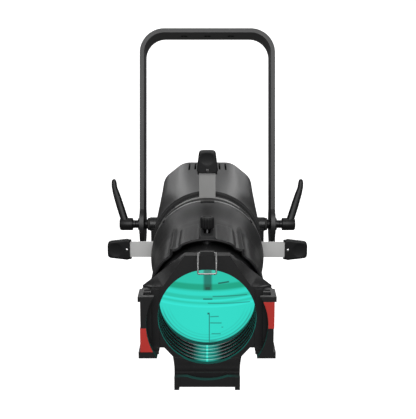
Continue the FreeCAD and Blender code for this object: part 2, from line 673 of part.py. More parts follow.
os.makedirs("parts", exist_ok=True)
make_yoke()
make_lever("lever_left", -1)
make_lever("lever_right", 1)
make_housing()
make_rear_cover()
make_brackets()
make_safety_eye()
make_engine()
make_gate()
for order, (title, turn) in enumerate((("shutter_top", 0), ("shutter_bottom", 180),
                                       ("shutter_left", 90), ("shutter_right", 270))):
    make_shutter(title, turn, order)
make_barrel()
make_lens_tube()
make_knob()
make_clip()
make_screws()
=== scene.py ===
import json
import math

import bmesh
import bpy
from mathutils import Matrix, Vector


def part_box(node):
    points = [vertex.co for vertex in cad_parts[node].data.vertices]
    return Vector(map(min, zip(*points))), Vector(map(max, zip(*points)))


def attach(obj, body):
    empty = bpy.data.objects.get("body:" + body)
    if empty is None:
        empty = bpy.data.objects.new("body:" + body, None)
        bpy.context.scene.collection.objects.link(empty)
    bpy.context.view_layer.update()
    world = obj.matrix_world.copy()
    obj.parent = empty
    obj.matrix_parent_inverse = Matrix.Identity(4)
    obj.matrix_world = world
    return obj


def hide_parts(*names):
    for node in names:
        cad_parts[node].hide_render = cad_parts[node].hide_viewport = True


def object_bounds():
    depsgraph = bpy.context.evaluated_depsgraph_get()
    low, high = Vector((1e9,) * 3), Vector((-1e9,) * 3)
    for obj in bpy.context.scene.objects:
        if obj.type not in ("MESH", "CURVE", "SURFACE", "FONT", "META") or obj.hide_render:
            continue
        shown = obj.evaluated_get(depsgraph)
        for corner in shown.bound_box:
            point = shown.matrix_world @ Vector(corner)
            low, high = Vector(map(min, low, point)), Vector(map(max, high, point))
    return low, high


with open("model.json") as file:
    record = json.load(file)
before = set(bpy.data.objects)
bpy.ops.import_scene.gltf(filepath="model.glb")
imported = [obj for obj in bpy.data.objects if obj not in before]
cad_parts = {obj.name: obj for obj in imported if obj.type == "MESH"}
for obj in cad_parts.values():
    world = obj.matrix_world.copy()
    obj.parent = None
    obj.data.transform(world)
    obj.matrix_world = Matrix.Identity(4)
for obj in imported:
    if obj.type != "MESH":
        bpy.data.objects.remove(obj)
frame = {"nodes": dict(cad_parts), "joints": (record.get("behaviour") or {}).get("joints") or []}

cad_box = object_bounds()
scene = bpy.context.scene


# ---- Studio: a level camera in front of the lamp, a pale floor that sweeps up behind it, soft light.
# The lamp hangs, so the floor lies well below it.  Places come from the pivot and the lamp's lowest point.
PIVOT = Vector(next(joint for joint in frame["joints"] if joint["name"] == "tilt")["pos_m"])
CAMERA_AWAY = 1.625
CAMERA_ABOVE_PIVOT = 0.0274
FLOOR_BELOW = 0.25

eye = bpy.data.cameras.new("camera")
eye.lens = 74.06
eye.sensor_width = 36.0
camera = bpy.data.objects.new("camera", eye)
camera.location = (0.0011, -CAMERA_AWAY, PIVOT.z + CAMERA_ABOVE_PIVOT)
camera.rotation_euler = (math.radians(90), 0, 0)
scene.collection.objects.link(camera)
scene.camera = camera
scene.view_settings.view_transform = "Standard"


def put_in_scene(name, mesh, material=None):
    piece = bpy.data.objects.new(name, mesh)
    scene.collection.objects.link(piece)
    if material:
        mesh.materials.append(material)
    return piece


floor_z = cad_box[0][2] - FLOOR_BELOW
sweep = bmesh.new()
rows = []
SWEEP_BACK, SWEEP_RADIUS, SWEEP_HALF, SWEEP_HIGH = 2.2, 0.8, 4.0, 4.0
profile = [(-4.0, floor_z), (SWEEP_BACK - SWEEP_RADIUS, floor_z)]
for step in range(1, 12):
    turn = math.radians(90 * step / 12)
    profile.append((SWEEP_BACK - SWEEP_RADIUS + SWEEP_RADIUS * math.sin(turn),
                    floor_z + SWEEP_RADIUS - SWEEP_RADIUS * math.cos(turn)))
profile += [(SWEEP_BACK, floor_z + SWEEP_RADIUS), (SWEEP_BACK, floor_z + SWEEP_HIGH)]
for y, z in profile:
    rows.append([sweep.verts.new((-SWEEP_HALF, y, z)), sweep.verts.new((SWEEP_HALF, y, z))])
for low, high in zip(rows, rows[1:]):
    sweep.faces.new((low[0], low[1], high[1], high[0])).smooth = True
sweep_mesh = bpy.data.meshes.new("studio_sweep")
sweep.to_mesh(sweep_mesh)
paper = bpy.data.materials.new("studio_paper")
paper.use_nodes = True
paper_shader = paper.node_tree.nodes["Principled BSDF"]
paper_shader.inputs["Base Color"].default_value = (0.93, 0.93, 0.93, 1)
paper_shader.inputs["Roughness"].default_value = 0.9
paper_shader.inputs["Emission Color"].default_value = (1, 1, 1, 1)
paper_shader.inputs["Emission Strength"].default_value = 0.85
sweep_piece = put_in_scene("studio_sweep", sweep_mesh, paper)
sweep_piece.visible_diffuse = False
sweep_piece.visible_glossy = False

for name, place, aim, size, power in (
        ("front_softbox", (0.0, -2.7, 0.5), (0, -0.2, -0.35), 2.0, 66),
        ("top_softbox", (0.0, -0.2, 1.7), (0, -0.1, -0.3), 1.4, 9),
        ("back_softbox", (0.0, 1.9, 1.6), (0, -0.1, -0.3), 1.4, 5),
        ("back_left_softbox", (-0.85, 1.95, 0.95), (0, 0.1, -0.3), 0.8, 4.5),
        ("back_right_softbox", (0.85, 1.95, 0.95), (0, 0.1, -0.3), 0.8, 4.5),
        ("left_softbox", (-2.0, -0.9, 0.5), (0, -0.2, -0.35), 1.3, 8),
        ("right_softbox", (2.0, -0.9, 0.5), (0, -0.2, -0.35), 1.3, 9)):
    lamp_data = bpy.data.lights.new(name, "AREA")
    lamp_data.size = size
    lamp_data.energy = power
    lamp = bpy.data.objects.new(name, lamp_data)
    lamp.location = place
    lamp.rotation_euler = (Vector(aim) - Vector(place)).to_track_quat("-Z", "Y").to_euler()
    scene.collection.objects.link(lamp)
scene.world = bpy.data.worlds.new("studio_air")
scene.world.use_nodes = True
scene.world.node_tree.nodes["Background"].inputs["Color"].default_value = (1, 1, 1, 1)
scene.world.node_tree.nodes["Background"].inputs["Strength"].default_value = 0.10


# ---- Yoke: one strip of flat aluminium bar, bent to a U, with a round pad at the foot of each arm.
# It is drilled for the clamp bolts, its edges are eased, and it is powder coated black with a fine pebble.
# Every coat and moulding below starts from the same recipe: colour that drifts a little, and a fine bump.
def coat(name, colour, rough, grain, bump=0.12, drift=0.12, metal=0.0, specular=0.5, stretch=(1, 1, 1)):
    material = bpy.data.materials.new(name)
    material.use_nodes = True
    tree = material.node_tree
    shader = tree.nodes["Principled BSDF"]
    shader.inputs["Metallic"].default_value = metal
    shader.inputs["Specular IOR Level"].default_value = specular
    spots = tree.nodes.new("ShaderNodeTexCoord")
    stretched = tree.nodes.new("ShaderNodeMapping")
    stretched.inputs["Scale"].default_value = stretch
    tree.links.new(spots.outputs["Object"], stretched.inputs["Vector"])

    def noise(size, detail):
        node = tree.nodes.new("ShaderNodeTexNoise")
        node.inputs["Scale"].default_value = 1 / size
        node.inputs["Detail"].default_value = detail
        tree.links.new(stretched.outputs["Vector"], node.inputs["Vector"])
        return node.outputs["Fac"]

    wide, fine = noise(0.045, 4), noise(grain, 3)
    tone = tree.nodes.new("ShaderNodeMix")
    tone.data_type = "RGBA"
    tone.inputs[6].default_value = (*[c * (1 - drift) for c in colour], 1)
    tone.inputs[7].default_value = (*[c * (1 + drift) for c in colour], 1)
    tree.links.new(wide, tone.inputs["Factor"])
    tree.links.new(tone.outputs[2], shader.inputs["Base Color"])
    gloss = tree.nodes.new("ShaderNodeMapRange")
    gloss.inputs["To Min"].default_value = max(rough - 0.08, 0.02)
    gloss.inputs["To Max"].default_value = rough + 0.08
    tree.links.new(fine, gloss.inputs["Value"])
    tree.links.new(gloss.outputs["Result"], shader.inputs["Roughness"])
    relief = tree.nodes.new("ShaderNodeBump")
    relief.inputs["Strength"].default_value = bump
    relief.inputs["Distance"].default_value = grain * 0.5
    tree.links.new(fine, relief.inputs["Height"])
    tree.links.new(relief.outputs["Normal"], shader.inputs["Normal"])
    return material


def crease(shape, angle):
    # round faces shade smooth, and an edge sharper than the angle stays a crease
    for face in shape.faces:
        face.smooth = True
    for edge in shape.edges:
        edge.smooth = not (len(edge.link_faces) == 2 and edge.calc_face_angle(0.0) > angle)


def ease_edges(piece, width, angle):
    rounding = piece.modifiers.new("eased_edges", "BEVEL")
    rounding.width = width
    rounding.segments = 2
    rounding.limit_method = "ANGLE"
    rounding.angle_limit = angle
    rounding.harden_normals = True


# A casting or a bent bar has no knife edge: its corners are eased, and its round faces shade smooth.
def eased(node, body, material, ease, corner=35.0):
    shell = bmesh.new()
    shell.from_mesh(frame["nodes"][node].data)
    bmesh.ops.remove_doubles(shell, verts=shell.verts, dist=2e-6)
    bmesh.ops.dissolve_limit(shell, angle_limit=math.radians(1.0), verts=shell.verts, edges=shell.edges)
    crease(shell, math.radians(corner))
    mesh = bpy.data.meshes.new(node + "_eased")
    shell.to_mesh(mesh)
    shell.free()
    piece = put_in_scene(node + "_eased", mesh, material)
    ease_edges(piece, ease, math.radians(corner))
    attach(piece, body)
    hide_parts(node)
    return piece


yoke_coat = coat("yoke_powder_coat", (0.010, 0.010, 0.0105), 0.38, 0.0009, specular=0.36)
eased("yoke", "yoke", yoke_coat, 0.0009)


# ---- Aim of the optical axis: everything on the lamp is drawn straight ahead, x to the side, a forward of
# the pivot and h above the axis, and is then tilted nose-down about the pivot as the lamp hangs.
barrel_joint = next(joint for joint in frame["joints"] if joint["name"] == "barrel_turn")
TILT = math.atan2(-barrel_joint["axis"][2], -barrel_joint["axis"][1])
AIM = Matrix.Translation(PIVOT) @ Matrix.Rotation(TILT, 4, "X")


def band_between(shape, one, two):
    # a closed band of four-sided faces between two rings of as many points
    for step in range(len(one)):
        after = (step + 1) % len(one)
        shape.faces.new((one[step], one[after], two[after], two[step]))


def lathe(outline, steps=96):
    # outline: (radius, a) pairs in metres, spun about the optical axis
    shape = bmesh.new()
    rings = []
    for radius, a in outline:
        turns = [2 * math.pi * step / steps for step in range(steps)]
        rings.append([shape.verts.new((radius * math.sin(t), -a, radius * math.cos(t))) for t in turns])
    for one, two in zip(rings, rings[1:] + rings[:1]):
        band_between(shape, one, two)
    bmesh.ops.remove_doubles(shape, verts=shape.verts, dist=1e-6)
    bmesh.ops.recalc_face_normals(shape, faces=shape.faces)
    return shape


def finished(shape, name, material, body, replaced=(), place=AIM, corner=30.0, ease=0.0):
    # places the mesh, shades it smooth between its creases, and hands the piece to its body
    crease(shape, math.radians(corner))
    mesh = bpy.data.meshes.new(name)
    shape.to_mesh(mesh)
    shape.free()
    mesh.transform(place)
    piece = put_in_scene(name, mesh, material)
    if ease:
        ease_edges(piece, ease, math.radians(corner))
    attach(piece, body)
    if replaced:
        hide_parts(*replaced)
    return piece


# ---- Tilt clamps: a blackened steel stud with a collar and washer on each side, a nylon spacer and a
# fibre friction disc between arm and housing, and a moulded lever that leans out to clear the hand.
moulded_black = coat("moulded_black", (0.0060, 0.0060, 0.0064), 0.42, 0.0007, bump=0.18, specular=0.30)
blackened = coat("blackened_steel", (0.018, 0.018, 0.019), 0.34, 0.0008, metal=0.7)
friction_grey = coat("friction_fibre", (0.030, 0.029, 0.028), 0.75, 0.0005, bump=0.3)
ARM_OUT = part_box("yoke")[1].x
STUD_R, COLLAR_R, HUB_R = 0.006, 0.0075, 0.0118
HUB_IN, HUB_OUT = 0.140, 0.165


def on_pivot(side):
    # the lathe's axis is turned to run out along +X or -X from the pivot
    return Matrix.Translation(PIVOT) @ Matrix.Rotation(math.radians(90 * side), 4, "Z")


for side, body, node in ((-1, "clamp_left", "lever_left"), (1, "clamp_right", "lever_right")):
    stud = lathe([(0.0002, 0.0975), (STUD_R - 0.0006, 0.0975), (STUD_R, 0.0983), (STUD_R, ARM_OUT + 0.0004),
                  (0.0108, ARM_OUT + 0.0004), (0.0113, ARM_OUT + 0.0008), (0.0113, ARM_OUT + 0.0024),
                  (0.0108, ARM_OUT + 0.0029), (COLLAR_R, ARM_OUT + 0.0031), (COLLAR_R, 0.1345),
                  (COLLAR_R - 0.0007, 0.1350), (COLLAR_R, 0.1355), (COLLAR_R, HUB_IN + 0.001),
                  (0.0002, HUB_IN + 0.001)], 48)
    finished(stud, node + "_stud_turned", blackened, body, [node + "_stud"], on_pivot(side))
    hub = lathe([(0.0002, HUB_IN), (HUB_R - 0.0016, HUB_IN), (HUB_R - 0.0004, HUB_IN + 0.0006),
                 (HUB_R, HUB_IN + 0.002), (HUB_R, HUB_OUT - 0.0035), (HUB_R - 0.0010, HUB_OUT - 0.0012),
                 (HUB_R - 0.0032, HUB_OUT), (0.0052, HUB_OUT), (0.0048, HUB_OUT - 0.0012),
                 (0.0002, HUB_OUT - 0.0012)], 48)
    finished(hub, node + "_hub", moulded_black, body, (), on_pivot(side))
    # the arm: stations from the hub to the tip, each (outward, up, thickness, depth), swelling at the tip
    arm = bmesh.new()
    rings = []
    for out, up, thick, depth in ((0.1535, -0.0010, 0.0135, 0.0175), (0.1545, 0.0040, 0.0145, 0.0175),
                                  (0.1580, 0.0140, 0.0145, 0.0160), (0.1625, 0.0280, 0.0145, 0.0150),
                                  (0.1672, 0.0430, 0.0140, 0.0142), (0.1712, 0.0560, 0.0130, 0.0136),
                                  (0.1738, 0.0640, 0.0118, 0.0132), (0.1743, 0.0665, 0.0104, 0.0130),
                                  (0.1752, 0.0690, 0.0110, 0.0130), (0.1758, 0.0760, 0.0104, 0.0126),
                                  (0.1764, 0.0815, 0.0090, 0.0112), (0.1768, 0.0850, 0.0050, 0.0070)):
        lean = math.radians(15)
        ring = []
        for step in range(16):
            turn = 2 * math.pi * step / 16
            squareness = 0.72
            u = math.copysign(abs(math.cos(turn)) ** squareness, math.cos(turn)) * thick / 2
            v = math.copysign(abs(math.sin(turn)) ** squareness, math.sin(turn)) * depth / 2
            ring.append(arm.verts.new((side * (out + u * math.cos(lean)), v, up - u * math.sin(lean))))
        rings.append(ring)
    for one, two in zip(rings, rings[1:]):
        band_between(arm, one, two)
    arm.faces.new(rings[0])
    arm.faces.new(rings[-1])
    bmesh.ops.recalc_face_normals(arm, faces=arm.faces)
    lever = finished(arm, node + "_arm", moulded_black, body, [node],
                     Matrix.Translation(PIVOT), corner=60)
    smoothing = lever.modifiers.new("smoothing", "SUBSURF")
    smoothing.levels = smoothing.render_levels = 1

SPACER_IN, SPACER_OUT = 0.112, 0.117
for side in (-1, 1):
    where = "left" if side < 0 else "right"
    spacer = lathe([(STUD_R + 0.0001, SPACER_IN), (0.0084, SPACER_IN), (0.009, SPACER_IN + 0.0006),
                    (0.009, SPACER_OUT - 0.0006), (0.0084, SPACER_OUT), (STUD_R + 0.0001, SPACER_OUT)], 40)
    finished(spacer, "pivot_spacer_" + where, moulded_black, "yoke",
             ["pivot_spacers"] if side < 0 else (), on_pivot(side))
    disc = lathe([(STUD_R + 0.0001, 0.108), (0.0115, 0.108), (0.012, 0.1085), (0.012, 0.1115),
                  (0.0115, SPACER_IN), (STUD_R + 0.0001, SPACER_IN)], 40)
    finished(disc, "friction_disc_" + where, friction_grey, "yoke",
             ["friction_discs"] if side < 0 else (), on_pivot(side))


# ---- Housing: two die-cast aluminium shells, flat on top and bottom with sloping shoulders, that meet in a
# seam along each side and run into a round front.  Axial vents are cast in; the coat is a dark grey powder.
housing_coat = coat("housing_powder_coat", (0.036, 0.036, 0.037), 0.38, 0.0010, bump=0.16)
cast_black = coat("cast_black", (0.0085, 0.0085, 0.009), 0.40, 0.0009)
for node in ("housing_upper", "housing_lower"):
    eased(node, "lamp", housing_coat, 0.0005)
eased("pivot_brackets", "lamp", cast_black, 0.0008)


# ---- Front band: a black ring pressed into the housing's round front, with a rolled outer lip and the
# neck that the barrel turns on.
band_black = coat("band_black", (0.004, 0.004, 0.0042), 0.55, 0.0010)
BAND_R, BAND_A, NECK_R = 0.094, 0.150, 0.056
band = lathe([(BAND_R - 0.0005, BAND_A), (BAND_R, BAND_A + 0.0006), (BAND_R, BAND_A + 0.0036),
              (BAND_R - 0.0006, BAND_A + 0.0046), (BAND_R - 0.0024, BAND_A + 0.0060),
              (BAND_R - 0.007, BAND_A + 0.0060), (BAND_R - 0.0078, BAND_A + 0.0052),
              (NECK_R + 0.006, BAND_A + 0.0052), (NECK_R, BAND_A + 0.0062), (NECK_R, 0.1655),
              (NECK_R - 0.0005, 0.166), (0.0505, 0.166), (0.050, 0.1655), (0.050, BAND_A)], 128)
finished(band, "front_band_turned", band_black, "lamp", ["front_band"])


# ---- Rear cover: a cast plate with a raised rim.  It carries the fan's intake slots, the display, four
# keys, the power and data sockets and the fuse, and is held by button-head screws.
eased("rear_cover", "lamp", housing_coat, 0.0006)
# a pad of black filter foam lies behind the intake slots, so nothing shows through them
foam = coat("filter_foam", (0.010, 0.010, 0.010), 0.95, 0.0012, bump=0.8)
pad = bmesh.new()
PAD_AT, PAD_SIZE = (0, 0.1643, 0.067), (0.088, 0.0014, 0.032)
bmesh.ops.create_cube(pad, size=1.0, matrix=Matrix.Translation(PAD_AT) @ Matrix.Diagonal((*PAD_SIZE, 1)))
finished(pad, "dust_filter", foam, "lamp", ease=0.0003)
display_black = coat("display_window", (0.004, 0.006, 0.008), 0.12, 0.004, bump=0.01)
eased("display_window", "lamp", display_black, 0.0008)
KEY_NODES = ("button_menu", "button_up", "button_down", "button_enter")
KEY_BODIES = ("menu_key", "up_key", "down_key", "enter_key")
KEY_X, KEY_PITCH, KEY_H, COVER_A = -0.030, 0.020, 0.006, -0.173
key_rubber = coat("key_rubber", (0.045, 0.046, 0.048), 0.55, 0.0005, bump=0.25)


def moved(x, h):
    return AIM @ Matrix.Translation((x, 0, h))


for order, (node, body) in enumerate(zip(KEY_NODES, KEY_BODIES)):
    key = lathe([(0.0001, -0.1752), (0.0022, -0.1753), (0.0034, -0.1758), (0.0040, -0.1760), (0.0044, -0.1757),
                 (0.0045, -0.1750), (0.0045, -0.166), (0.003, -0.166), (0.003, -0.1635), (0.006, -0.1635),
                 (0.006, -0.161), (0.0001, -0.161)], 40)
    finished(key, node + "_cap", key_rubber, body, [node],
             moved(KEY_X + KEY_PITCH * order, KEY_H))


# ---- Sockets: power in and out at one side, data in and out at the other.  Each is a moulded shell on a
# square flange with two screws, a keyed mouth and brass contacts on an insert.
brass = coat("contact_brass", (0.70, 0.50, 0.22), 0.28, 0.0008, metal=1.0)
SOCKET_H = -0.036
POWER_X, DATA_X = (-0.052, -0.0175), (0.0175, 0.052)
FLANGE_HALF_X, FLANGE_LOW, FLANGE_HIGH = 0.014, -0.052, -0.020
for node, label, spots, contacts in (("power_sockets", "power", POWER_X, 3),
                                     ("data_sockets", "data", DATA_X, 5)):
    for order, x in enumerate(spots):
        name = "%s_socket_%d" % (label, order + 1)
        plate = bmesh.new()
        outer = []
        corner = 0.003
        for cx, ch, start in ((FLANGE_HALF_X - corner, FLANGE_HIGH - SOCKET_H - corner, 0),
                              (corner - FLANGE_HALF_X, FLANGE_HIGH - SOCKET_H - corner, 90),
                              (corner - FLANGE_HALF_X, FLANGE_LOW - SOCKET_H + corner, 180),
                              (FLANGE_HALF_X - corner, FLANGE_LOW - SOCKET_H + corner, 270)):
            for step in range(6):
                turn = math.radians(start + 90 * step / 5)
                outer.append((cx + corner * math.cos(turn), ch + corner * math.sin(turn)))
        mouth = []
        for px, ph in outer:
            reach = 0.0098 / math.hypot(px, ph)
            mouth.append((px * reach, ph * reach))
        rows = []
        for ring, a in ((mouth, COVER_A - 0.0019), (outer, COVER_A - 0.0019), (outer, COVER_A - 0.0001)):
            rows.append([plate.verts.new((px, -a, ph)) for px, ph in ring])
        for one, two in zip(rows, rows[1:]):
            band_between(plate, one, two)
        bmesh.ops.recalc_face_normals(plate, faces=plate.faces)
        finished(plate, name + "_flange", moulded_black, "lamp",
                 [node] if order == 0 else (), moved(x, SOCKET_H), ease=0.0004)
        shell = lathe([(0.0116, COVER_A - 0.0018), (0.0112, COVER_A - 0.0024), (0.0102, COVER_A - 0.0024),
                       (0.0096, COVER_A - 0.0018), (0.0094, -0.1560), (0.0001, -0.1560), (0.0001, -0.146),
                       (0.0116, -0.146)], 56)
        finished(shell, name + "_shell", moulded_black, "lamp", (), moved(x, SOCKET_H))
        ring = 0.0046 if contacts == 3 else 0.0056
        for pin in range(contacts):
            turn = math.radians(210 + (240 if contacts == 5 else 360) * pin / (4 if contacts == 5 else 3))
            contact = lathe([(0.0001, -0.1690), (0.0006, -0.1690), (0.0011, -0.1682), (0.0012, -0.1675),
                             (0.0012, -0.1562), (0.0001, -0.1562)], 16)
            finished(contact, "%s_contact_%d" % (name, pin + 1), brass, "lamp", (),
                     moved(x + ring * math.cos(turn), SOCKET_H + ring * math.sin(turn)))

fuse = lathe([(0.0001, -0.1802), (0.0040, -0.1802), (0.0046, -0.1810), (0.0078, -0.1810), (0.0085, -0.1800),
              (0.0085, -0.1738), (0.0080, COVER_A), (0.0069, COVER_A), (0.0069, -0.150), (0.0001, -0.150)], 48)
finished(fuse, "fuse_cap_turned", moulded_black, "lamp", ["fuse_cap"], moved(0, -0.068))


# ---- Light engine: LED board on a finned aluminium sink with copper heat pipes, a glass mixing rod, a
# condenser lens in a black tube, the cooling fan, the power supply and the driver board, all inside.
mill = coat("mill_aluminium", (0.62, 0.62, 0.64), 0.35, 0.0008, metal=1.0, stretch=(1, 6, 1))
copper = coat("drawn_copper", (0.72, 0.36, 0.22), 0.30, 0.0008, metal=1.0)
board_green = coat("circuit_board", (0.02, 0.10, 0.04), 0.40, 0.001)
zinc = coat("zinc_plate", (0.36, 0.36, 0.37), 0.30, 0.0009, metal=1.0)
clear_glass = coat("clear_glass", (0.90, 0.97, 0.95), 0.10, 0.02, bump=0.0, drift=0.02)
clear_glass.node_tree.nodes["Principled BSDF"].inputs["Transmission Weight"].default_value = 1.0


def wear(material, *nodes):
    for node in nodes:
        held = frame["nodes"][node].data
        held.materials.clear()
        held.materials.append(material)


wear(mill, "heat_sink")
wear(copper, "heat_pipes")
wear(board_green, "led_board", "driver_board", "control_board")
wear(zinc, "power_supply")
wear(cast_black, "engine_tube", "lens_retainers")
wear(moulded_black, "fan_frame", "fan_rotor")
wear(clear_glass, "mixing_rod", "condenser_lens", "rear_lens")


# ---- Gate: two black cast rings with the stainless gate plates between them, turning on the neck, and a
# turned aluminium trim ring where the barrel bolts on.
GATE_FRONT_A = 0.217
gate_black = coat("gate_black", (0.0035, 0.0035, 0.0037), 0.60, 0.0010, specular=0.25)
eased("gate_ring_rear", "barrel", gate_black, 0.0005)
eased("gate_ring_front", "barrel", gate_black, 0.0005)
turned_grey = coat("turned_trim", (0.055, 0.055, 0.056), 0.34, 0.0006, metal=0.7)
bright_edge = coat("turned_edge", (0.60, 0.60, 0.60), 0.30, 0.0006, metal=0.9)
TRIM_R = 0.091
trim = lathe([(0.0845, GATE_FRONT_A), (TRIM_R - 0.0012, GATE_FRONT_A), (TRIM_R - 0.0002, GATE_FRONT_A + 0.0010),
              (TRIM_R - 0.0002, 0.2240), (0.0845, 0.224)], 160)
finished(trim, "trim_ring_turned", turned_grey, "barrel", ["trim_ring"])
edge = lathe([(TRIM_R - 0.0004, 0.2172), (TRIM_R + 0.0001, 0.2172), (TRIM_R + 0.0001, 0.2184),
              (TRIM_R - 0.0004, 0.2184)], 160)
finished(edge, "trim_ring_edge", bright_edge, "barrel")


# ---- Shutters: four stainless blades, each wide inside the gate and narrow where it comes out, brushed
# along their length, with a moulded grip riveted on the end.  Each grip has a thumb dish on both faces.
def brushed(name, colour, along):
    # sanding lines run along one direction and catch the light as streaks
    material = coat(name, colour, 0.40, 0.0006, bump=0.05, drift=0.06, metal=0.45)
    tree = material.node_tree
    shader = tree.nodes["Principled BSDF"]
    spots = tree.nodes.new("ShaderNodeTexCoord")
    turn = tree.nodes.new("ShaderNodeMapping")
    turn.inputs["Scale"].default_value = along
    lines = tree.nodes.new("ShaderNodeTexNoise")
    lines.inputs["Scale"].default_value = 900
    lines.inputs["Detail"].default_value = 2
    spread = tree.nodes.new("ShaderNodeMapRange")
    spread.inputs["To Min"].default_value = 0.26
    spread.inputs["To Max"].default_value = 0.50
    tree.links.new(spots.outputs["Object"], turn.inputs["Vector"])
    tree.links.new(turn.outputs["Vector"], lines.inputs["Vector"])
    tree.links.new(lines.outputs["Fac"], spread.inputs["Value"])
    tree.links.new(spread.outputs["Result"], shader.inputs["Roughness"])
    return material


# the same stainless steel in two copies: the upright blades and the gate plates get a darker copy as painted
# shade, the blades across get a lighter copy as painted light
shaded_blade_steel = brushed("blade_steel_upright", (0.34, 0.34, 0.335), (1.0, 0.03, 0.03))
lit_blade_steel = brushed("blade_steel_across", (0.76, 0.76, 0.75), (0.03, 1.0, 1.0))
BLADE_A, BLADE_PITCH, BLADE_T = 0.1784, 0.0019, 0.0008
GRIP_IN, GRIP_OUT, GRIP_HOLE_H, GRIP_HALF_T = 0.127, 0.167, 0.135, 0.0055
grip_black = coat("shutter_grip", (0.0055, 0.0055, 0.006), 0.50, 0.0006, bump=0.30, specular=0.30)


def grip_mesh(middle):
    # a grid over the grip's outline, thick in the middle and rounded at the rim, with a hole through it
    shape = bmesh.new()
    hole = (0.0, GRIP_HOLE_H)
    rings, around = 12, 96

    # the outline: broadest just past the hole, tapering to a rounded outer end, as (half width, h) corners
    corners = ((0.0, GRIP_IN + 0.0026), (0.0132, GRIP_IN + 0.0026), (0.0158, GRIP_IN + 0.0032),
               (0.0173, GRIP_IN + 0.0066), (0.0174, GRIP_IN + 0.0080), (0.0170, GRIP_IN + 0.0110),
               (0.0142, GRIP_OUT - 0.0056), (0.0136, GRIP_OUT - 0.0034), (0.0122, GRIP_OUT - 0.0014),
               (0.0100, GRIP_OUT - 0.0004), (0.0060, GRIP_OUT), (0.0, GRIP_OUT))
    lengths = [math.dist(one, two) for one, two in zip(corners, corners[1:])]

    def rim(step):
        # a point on the outline, a step of the way round from the middle of the blade end and back
        way = 2 * step / around
        side, left = (1, way) if way <= 1 else (-1, 2 - way)
        left *= sum(lengths)
        for one, two, length in zip(corners, corners[1:], lengths):
            if left <= length + 1e-9:
                share = left / length
                return side * (one[0] + (two[0] - one[0]) * share), one[1] + (two[1] - one[1]) * share
            left -= length
        return 0.0, GRIP_OUT

    faces = []
    for side in (-1, 1):
        loops = []
        for ring in range(rings + 1):
            t = ring / rings
            loop = []
            for step in range(around):
                rx, rh = rim(step)
                start = math.atan2(rx - hole[0], rh - hole[1])
                hx, hh = hole[0] + 0.0024 * math.sin(start), hole[1] + 0.0024 * math.cos(start)
                x, h = hx + (rx - hx) * t, hh + (rh - hh) * t
                edge = min(1.0, (1 - t) / 0.16)
                crown = 0.0014 * (1 - math.sqrt(max(0.0, 1 - (1 - edge) ** 2)))
                dish = 0.0011 * max(0.0, 1 - ((x / 0.0115) ** 2 + ((h - 0.1535) / 0.0105) ** 2)) ** 0.6
                loop.append(shape.verts.new((x, -(middle + side * (GRIP_HALF_T - crown - dish)), h)))
            loops.append(loop)
        faces.append(loops)
    for loops in faces:
        for one, two in zip(loops, loops[1:]):
            band_between(shape, one, two)
    for at in (0, rings):
        band_between(shape, faces[0][at], faces[1][at])
    bmesh.ops.remove_doubles(shape, verts=shape.verts, dist=1e-5)
    # two horns run on along the blade's edges
    for side in (-1, 1):
        horn = []
        for h, inner, outer, half_t in ((GRIP_IN, 0.0146, 0.0158, 0.0028),
                                        (GRIP_IN + 0.0006, 0.0139, 0.0162, 0.0036),
                                        (GRIP_IN + 0.0048, 0.0136, 0.0164, 0.0039)):
            horn.append([shape.verts.new((side * x, -(middle + t), h))
                         for x, t in ((inner, -half_t), (outer, -half_t), (outer, half_t), (inner, half_t))])
        for one, two in zip(horn, horn[1:]):
            band_between(shape, one, two)
        shape.faces.new(horn[0])
        shape.faces.new(horn[-1])
    bmesh.ops.recalc_face_normals(shape, faces=shape.faces)
    return shape


for layer, (where, turn) in enumerate((("top", 0), ("bottom", 180), ("left", 90), ("right", -90))):
    body = where + "_shutter"
    place = AIM @ Matrix.Rotation(math.radians(-turn), 4, "Y")
    steel = shaded_blade_steel if where in ("top", "bottom") else lit_blade_steel
    eased("shutter_" + where, body, steel, 0.00018)
    grip = grip_mesh(BLADE_A + layer * BLADE_PITCH + BLADE_T / 2)
    finished(grip, "shutter_%s_grip" % where, grip_black, body,
             ["shutter_%s_handle" % where], place, corner=50)
wear(shaded_blade_steel, "gate_plates")


# ---- Barrel: two aluminium castings, upper and lower, that carry the lens tube.  Behind, it is as wide as
# the trim ring; it draws in to a parallel mouth.  Ribs and a raised saddle stiffen the top and the bottom,
# and the focus slot runs through a flat pad on the top.
BARREL_A0, BARREL_A1 = 0.224, 0.445
SLOT_HALF, SLOT_A0, SLOT_A1 = 0.0045, 0.397 - 0.0244, 0.397 + 0.0244
PAD_HALF, PAD_TOP, PAD_A0, PAD_A1 = 0.0110, 0.0870, 0.365, 0.441


def ramp(value, low, high):
    t = min(1.0, max(0.0, (value - low) / (high - low)))
    return t * t * (3 - 2 * t)


def barrel_radius(angle, a):
    # the skin's radius; the angle is measured from straight up, in radians
    if a < 0.236:
        radius = 0.0910
    elif a < 0.310:
        radius = 0.0910 - 0.0085 * ramp(a, 0.232, 0.316)
    else:
        radius = 0.0825 - 0.0012 * ramp(a, 0.310, 0.350)
    radius -= 0.0010 * ramp(a, BARREL_A1 - 0.0016, BARREL_A1)
    off = abs(math.degrees(angle)) % 360
    off = min(off, 360 - off)
    off = min(off, 180 - off) if off > 90 else off
    saddle = ramp(a, 0.347, 0.353) * (1 - ramp(off, 31.0, 34.0))
    radius += 0.0036 * saddle
    rib = ramp(a, 0.300, 0.345) * math.exp(-((off - 35.5) / 1.9) ** 2)
    radius += (0.0042 + 0.0014 * ramp(a, 0.415, 0.443)) * rib
    hollow = ramp(a, 0.345, 0.356) * math.exp(-((off - 29.5) / 3.0) ** 2)
    radius -= 0.0026 * hollow
    waist = ramp(a, 0.320, 0.345) * math.exp(-((off - 42.0) / 4.5) ** 2)
    radius -= 0.0014 * waist
    return radius


